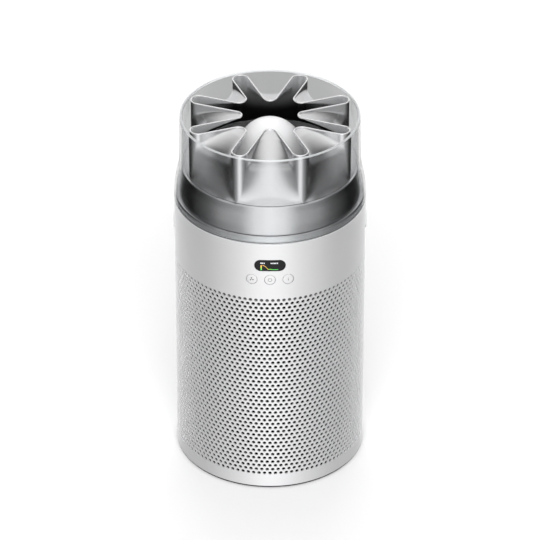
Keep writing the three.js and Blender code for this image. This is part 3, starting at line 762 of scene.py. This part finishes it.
def half_trough(trough, floor, grow, floor_steps=12, end_steps=18):
    """Half of one trough in plan: its middle lies along +X and the slot on the +Y side. The floor is an arc
    tangent to the slot's wall, or to its rounded end once the floor lies far enough out."""
    m = floor + grow
    end_r = SLOT_HALF + grow
    half_angle = trough["half_angle"]
    sine, cosine = math.sin(half_angle), math.cos(half_angle)
    end_x, end_y = trough["slot_end"]
    apex = (trough["wall_offset"] + grow) / sine
    wall_length = (end_x - apex) * cosine + end_y * sine
    bend = (1 - sine) / ((m - apex) * sine)
    touch = (m + 1 / bend - apex) * cosine
    straight = wall_length - touch
    if straight > 0:
        meet = (apex + touch * cosine, touch * sine)
        start = half_angle - math.pi / 2
    else:
        straight = 0.0
        inward = m - end_x
        bend = 2 * (end_r - inward) / (inward ** 2 + end_y ** 2 - end_r ** 2)
        reach = end_r / (1 + end_r * bend)
        meet = (end_x + (inward * bend + 1) * reach, end_y - end_y * bend * reach)
        start = math.atan2(meet[1] - end_y, meet[0] - end_x)
    if abs(bend) < 1e-6:
        bend = 1e-6
    sweep = math.atan2(bend * meet[1], 1 - bend * (meet[0] - m))
    points = [(m + (1 - math.cos(t)) / bend, math.sin(t) / bend)
              for t in np.linspace(0, sweep, floor_steps + 1)]
    share = 0.3 * min(1, straight / 10)
    for t in np.linspace(0, 1, end_steps + 1)[1:]:
        if t < share:
            along = straight * t / share
            points.append((meet[0] + along * cosine, meet[1] + along * sine))
            continue
        angle = start + (half_angle - start) * (t - share) / (1 - share)
        points.append((end_x + end_r * math.cos(angle), end_y + end_r * math.sin(angle)))
    return points


def nozzle_outline(floor, grow, z):
    """The whole outline at one level, counter-clockwise from +X, as points at height z."""
    foot = TROUGH_FLOOR[0][0]
    tips = [(t["wall_offset"] + t["tip_r"]) / math.sin(t["half_angle"]) - t["tip_r"]
            for t in (AXIS_TROUGH, DIAGONAL_TROUGH)]
    diagonal_floor = foot - (foot - floor) * (foot - tips[1]) / (foot - tips[0])
    from_axis = half_trough(AXIS_TROUGH, floor, grow)
    to_diagonal = [((x + y) / math.sqrt(2), (x - y) / math.sqrt(2))
                   for x, y in half_trough(DIAGONAL_TROUGH, diagonal_floor, grow)[::-1]]
    eighth = from_axis + to_diagonal[1:]
    quarter = eighth + [(y, x) for x, y in eighth[-2:0:-1]]
    outline = []
    for k in range(4):
        c, s = math.cos(k * math.pi / 2), math.sin(k * math.pi / 2)
        outline += [(c * x - s * y, s * x + c * y, z) for x, y in quarter]
    return outline


def make_nozzle():
    """The silver nozzle as one sheet: up the outside, over a round bead at the lip, and down the inside."""
    bead_foot = HEIGHT - 1.8 * BEAD_R
    shallow = HEIGHT - 3.9
    heights = [*np.linspace(NOZZLE_FOOT_Z, 432, 26), *np.linspace(432, shallow, 18)[1:]]
    levels = [nozzle_outline(floor_at(z), 0, z) for z in heights]
    rim = floor_at(HEIGHT)
    for t in np.linspace(0.12, 1, 8):
        z = shallow + (bead_foot - shallow) * t
        levels.append(nozzle_outline(floor_at(z) + (rim - floor_at(bead_foot)) * t, 0, z))
    bead_start = len(levels)
    for t in np.linspace(-0.8, math.pi + 0.8, 13):
        grow = BEAD_R * math.cos(t) - NOZZLE_WALL / 2
        levels.append(nozzle_outline(rim, grow, HEIGHT - BEAD_R + BEAD_R * math.sin(t)))
    inner_start = len(levels)
    down = [bead_foot, *np.linspace(bead_foot - 0.7, 430, 20), *np.linspace(430, NOZZLE_FOOT_Z, 20)[1:]]
    for z in down:
        floor = min(floor_at(min(z + 1.2, HEIGHT)) + 0.3, TROUGH_FLOOR[0][0])
        levels.append(nozzle_outline(floor, -NOZZLE_WALL, z))
    count = len(levels[0])
    vertices = [p for level in levels for p in level]
    # The bead wears the paler silver, a painted highlight
    bead = (LIP_HIGHLIGHT_SILVER, bead_start * count, inner_start * count)
    # The inner faces fade to black downwards, a painted shade
    inside = (NOZZLE_INSIDE_PAINTED_SHADE, inner_start * count, len(levels) * count)
    faces = []
    for k in range(len(levels)):
        low = k * count
        high = (k + 1) % len(levels) * count
        faces += [[low + i, low + (i + 1) % count, high + (i + 1) % count, high + i] for i in range(count)]
    build("nozzle_star", vertices, faces, NOZZLE_SILVER, "head", "nozzle_silver", ("nozzle_lobes",),
          others=(bead, inside))


def make_inside():
    """The cone in the middle of the nozzle, and the fan duct's wall with a gap for each hook."""
    outer = curve_through([(64, 351.4), (61.6, 356), (59, 361), (53, 378), (46, 397), (39.5, 411.5),
                           (33.5, 422.4), (27, 430.6), (19, 436.8), (10, 440.7), (0, CONE_TOP)], 8)
    inner = curve_through([(0, CONE_TOP - 2), (17, 435.5), (31, 422), (43, 398), (56, 362), (62, 351.4)], 6)
    build("centre_cone", *turn(outer + inner, 144), PALE_SILVER, "body", "pale_silver", ("outlet_cone",))
    top = corners("fan_duct")[1].z
    rim = corners("fan_duct")[1].y
    duct = rounded([(66.5, 284.5, 0.4), (66.5, 320, 6), (72, 328, 6), (82, 335.5, 8), (94, top, 2),
                    (rim, top, 0.4), (rim, top - 2.5, 0.4), (95.5, top - 2.5, 2), (84, 332.6, 6),
                    (75, 325.5, 6), (69, 318, 4), (69, 284.5, 0.4)])
    hook_gaps = [wrapped_prism(rectangle(-7, -5, 7, 5), 99.5 - BODY_R, 106 - BODY_R, azimuth, top - 1)
                 for azimuth in SIDES.values()]
    solid_band("fan_duct_wall", duct, hook_gaps, BLACK_PLASTIC, "black_plastic", ("fan_duct",), None)


make_casing()
make_base()
make_buttons()
make_icons()
make_release_buttons()
make_shell()
make_collar()
make_nozzle()
make_inside()

# ---- Display ----


def make_display():
    """The glass, with a level bar, a trend line and a row of plain marks where the real one has words."""
    glass_out = -0.1
    window = pill_outline(DISPLAY_W, DISPLAY_H)
    rings = [(0, -1.7), *rounded_edge(glass_out, 0.3), (3, glass_out)]
    cap("display_lens", window, rings, DISPLAY_GLASS, "body", "display_black", ("display_window",), 0.0,
        DISPLAY_Z)

    def lit_mark(name, outline, material):
        plate(name, outline, material, "body", "display_black", 0.0, DISPLAY_Z, glass_out)

    white = emissive("screen_white", (0.7, 0.72, 0.75), 0.3)
    shades = [(0.10, 0.62, 0.12), (0.22, 0.66, 0.10), (0.50, 0.62, 0.08), (0.78, 0.55, 0.10),
              (0.85, 0.45, 0.12)]
    bar_x = -10.2
    bar_low = -6.3
    bar_half = 0.75
    step = 1.35
    for k, shade in enumerate(shades):
        y = bar_low + k * step
        level = rectangle(bar_x - bar_half, y, bar_x + bar_half, y + step)
        lit_mark(f"screen_bar_{k + 1}", level, emissive(f"screen_level_{k + 1}", shade, 0.35))
    trend = curve_through([(-8.6, 0.2), (-7.0, -0.1), (-5.2, -1.4), (-3.4, -3.6), (-1.6, -4.9), (0.4, -4.7),
                           (2.2, -5.2), (5.0, -5.3), (9.4, -5.4)], 4)
    thick = 0.42
    line_shades = [shades[4], shades[3], shades[1], shades[0]]
    stretch = (len(trend) - 1) // len(line_shades)
    for k, shade in enumerate(line_shades):
        run = trend[k * stretch:(k + 1) * stretch + 1]
        outline = [(x, y - thick) for x, y in run] + [(x, y + thick) for x, y in run[::-1]]
        lit_mark(f"screen_trend_{k + 1}", outline, emissive(f"screen_trend_shade_{k + 1}", shade, 0.3))
    marks = [(-10.4, 1.5), (-8.6, 1.5), (-6.6, 1.2), (1.4, 1.3), (3.2, 1.2), (4.9, 1.4), (6.7, 1.4),
             (8.6, 1.2)]
    for k, (x, width) in enumerate(marks):
        lit_mark(f"screen_mark_{k + 1}", rectangle(x - width / 2, 2.4, x + width / 2, 4.0), white)


make_display()

# ---- Materials of the CAD pieces that stay ----
KEPT = {
    "base_plate": WHITE_PAINT, "base_deck": BLACK_PLASTIC, "power_board": circuit_board(),
    "inlet_socket": BLACK_PLASTIC, "inlet_pin": STEEL, "filter_end_cap_lower": GREY_PLASTIC,
    "filter_end_cap_upper": GREY_PLASTIC, "particle_filter": pleated_paper(),
    "carbon_filter": carbon_cloth(), "filter_seal": RUBBER, "inlet_bellmouth": BLACK_PLASTIC,
    "inlet_guard": BLACK_PLASTIC, "acoustic_foam": FOAM, "impeller": GREY_PLASTIC,
    "impeller_nut": STEEL, "motor_shaft": STEEL, "motor_magnet": MAGNET,
    "diffuser": BLACK_PLASTIC, "bearing_lower": STEEL, "bearing_upper": STEEL, "motor_can": STEEL,
    "motor_stator": copper_winding(), "display_panel": BLACK_PLASTIC, "control_board": circuit_board(),
    "air_quality_sensor": BLACK_PLASTIC, "wiring_harness": RUBBER, "head_seal": RUBBER,
}
for screw in range(1, 5):
    KEPT[f"base_screw_{screw}"] = STEEL
for control in CONTROLS:
    KEPT[f"{control}_switch"] = BLACK_PLASTIC
for side in SIDES:
    KEPT[f"release_spring_{side}"] = STEEL
    KEPT[f"latch_hook_{side}"] = STEEL
for node, material in KEPT.items():
    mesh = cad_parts[node].data
    mesh.materials.clear()
    mesh.materials.append(material)


# ---- Studio ----


def make_floor():
    """A pale floor just under the foot, seen by the camera but not in reflections."""
    bpy.ops.mesh.primitive_plane_add(size=24, location=(0, 0, -0.0002))
    floor = bpy.context.object
    floor.name = "studio_floor"
    material, _, shader = new_material("pale_floor")
    shader.inputs["Base Color"].default_value = (0.65, 0.65, 0.65, 1)
    shader.inputs["Roughness"].default_value = 1.0
    shader.inputs["Specular IOR Level"].default_value = 0.0
    floor.data.materials.append(material)
    floor.visible_glossy = False
    floor.visible_diffuse = False
    floor.visible_transmission = False
    floor.visible_shadow = False
    return floor


# The sky's brightness below the horizon and at it, by degrees round from the front, and overhead, by how far
# sideways the direction points.
LOW_SKY = [(0, 1.05), (18, 0.88), (29, 0.57), (35, 0.4), (48, 0.31), (64, 0.21), (80, 0.1), (96, 0.045),
           (112, 0.008), (140, 0.02), (148, 0.14), (156, 0.6), (165, 1.0), (174, 0.62), (180, 0.44)]
LEVEL_SKY = [(0, 1.05), (18, 0.9), (29, 0.66), (40, 0.52), (50, 0.5), (62, 0.46), (70, 0.28), (80, 0.15),
             (96, 0.14), (112, 0.14), (125, 0.18), (140, 0.62), (160, 0.75), (180, 0.75)]
TOP_SKY = [(0, 0.92), (0.12, 0.88), (0.3, 0.7), (0.45, 0.48), (0.65, 0.2), (0.9, 0.06)]
# The heights, as the direction's Z, over which each sky fades into the next.
LOW_TO_LEVEL = (-0.38, -0.1)
LEVEL_TO_TOP = (0.42, 0.78)


def make_sky():
    """Soft studio light: bright panels in front, behind and overhead, and dim sides between them."""
    world = bpy.data.worlds.new("studio")
    bpy.context.scene.world = world
    world.use_nodes = True
    tree = world.node_tree
    tree.nodes.clear()
    link = tree.links.new

    def math_node(operation, *values):
        node = tree.nodes.new("ShaderNodeMath")
        node.operation = operation
        for slot_number, value in enumerate(values):
            if isinstance(value, (int, float)):
                node.inputs[slot_number].default_value = value
            else:
                link(value, node.inputs[slot_number])
        return node.outputs[0]

    def light_ramp(position, stops, whole):
        ramp = tree.nodes.new("ShaderNodeValToRGB")
        elements = ramp.color_ramp.elements
        elements.remove(elements[1])
        for place, level in stops:
            element = elements[0] if place == 0 else elements.new(place / whole)
            element.color = (level, level, level, 1)
        link(position, ramp.inputs["Fac"])
        return ramp.outputs["Color"]

    def blend(height, fade, below, above):
        rise = tree.nodes.new("ShaderNodeMapRange")
        rise.interpolation_type = "SMOOTHSTEP"
        rise.inputs["From Min"].default_value = fade[0]
        rise.inputs["From Max"].default_value = fade[1]
        link(height, rise.inputs["Value"])
        mix = tree.nodes.new("ShaderNodeMix")
        mix.data_type = "RGBA"
        link(rise.outputs["Result"], mix.inputs["Factor"])
        link(below, mix.inputs["A"])
        link(above, mix.inputs["B"])
        return mix.outputs["Result"]

    coordinates = tree.nodes.new("ShaderNodeTexCoord")
    split = tree.nodes.new("ShaderNodeSeparateXYZ")
    link(coordinates.outputs["Generated"], split.inputs[0])
    height = split.outputs["Z"]
    sideways = math_node("ABSOLUTE", split.outputs["X"])
    towards = math_node("MULTIPLY", split.outputs["Y"], -1.0)
    azimuth = math_node("DIVIDE", math_node("ARCTAN2", sideways, towards), math.pi)
    low = light_ramp(azimuth, LOW_SKY, 180)
    level = light_ramp(azimuth, LEVEL_SKY, 180)
    overhead = light_ramp(sideways, TOP_SKY, 1)
    sky = blend(height, LOW_TO_LEVEL, low, level)
    sky = blend(height, LEVEL_TO_TOP, sky, overhead)
    light = tree.nodes.new("ShaderNodeBackground")
    light.inputs["Strength"].default_value = 1.0
    link(sky, light.inputs["Color"])
    # What is seen directly, or straight through the clear shell, is a plain white backdrop.
    backdrop = tree.nodes.new("ShaderNodeBackground")
    backdrop.inputs["Color"].default_value = (1, 1, 1, 1)
    path = tree.nodes.new("ShaderNodeLightPath")
    bounces = math_node("SUBTRACT", path.outputs["Ray Depth"], path.outputs["Transmission Depth"])
    unbounced = math_node("LESS_THAN", bounces, 0.5)
    choose = tree.nodes.new("ShaderNodeMixShader")
    link(unbounced, choose.inputs["Fac"])
    link(light.outputs[0], choose.inputs[1])
    link(backdrop.outputs[0], choose.inputs[2])
    output = tree.nodes.new("ShaderNodeOutputWorld")
    link(choose.outputs[0], output.inputs["Surface"])


def light_matt_only(holder):
    """Adds a light that polished and clear surfaces don't show."""
    holder.visible_glossy = False
    holder.visible_transmission = False
    bpy.context.scene.collection.objects.link(holder)


def make_fill(name, azimuth, elevation, strength, softness):
    """A very soft light that only matt surfaces pick up."""
    lamp = bpy.data.lights.new(name, "SUN")
    lamp.energy = strength
    lamp.angle = math.radians(softness)
    holder = bpy.data.objects.new(name, lamp)
    holder.rotation_euler = (math.radians(90 - elevation), 0, math.radians(azimuth))
    light_matt_only(holder)


def make_strip(name, azimuth, power, unlit):
    """A tall strip light close beside the casing, for matt surfaces on that side but not the unlit floor."""
    distance = 0.3
    middle = 0.22
    lamp = bpy.data.lights.new(name, "AREA")
    lamp.shape = "RECTANGLE"
    lamp.size = 0.06
    lamp.size_y = 0.7
    lamp.energy = power
    angle = math.radians(azimuth)
    holder = bpy.data.objects.new(name, lamp)
    holder.location = (distance * math.sin(angle), -distance * math.cos(angle), middle)
    holder.rotation_euler = (math.pi / 2, 0, angle)
    holder.visible_camera = False
    left_out = bpy.data.collections.new(name + "_left_out")
    left_out.objects.link(unlit)
    left_out.collection_objects[0].light_linking.link_state = "EXCLUDE"
    holder.light_linking.receiver_collection = left_out
    light_matt_only(holder)


def make_camera():
    elevation = math.radians(32.63)
    distance = 4.85
    target = Vector((0, 0, 0.2365))
    camera = bpy.data.cameras.new("camera")
    camera.lens = 273.3
    camera.sensor_width = 36
    camera.clip_end = 60
    holder = bpy.data.objects.new("camera", camera)
    holder.location = target + distance * Vector((0, -math.cos(elevation), math.sin(elevation)))
    holder.rotation_euler = (math.pi / 2 - elevation, 0, 0)
    bpy.context.scene.collection.objects.link(holder)
    bpy.context.scene.camera = holder


floor = make_floor()
make_sky()
make_fill("front_fill", 0, 42, 2.5, 40)
make_fill("back_fill", 180, 20, 1.2, 40)
make_strip("right_strip", 108, 1.6, floor)
make_strip("left_strip", -108, 1.6, floor)
make_fill("top_fill", 0, 90, 1.4, 60)
make_camera()
bpy.context.scene.view_settings.view_transform = "Standard"
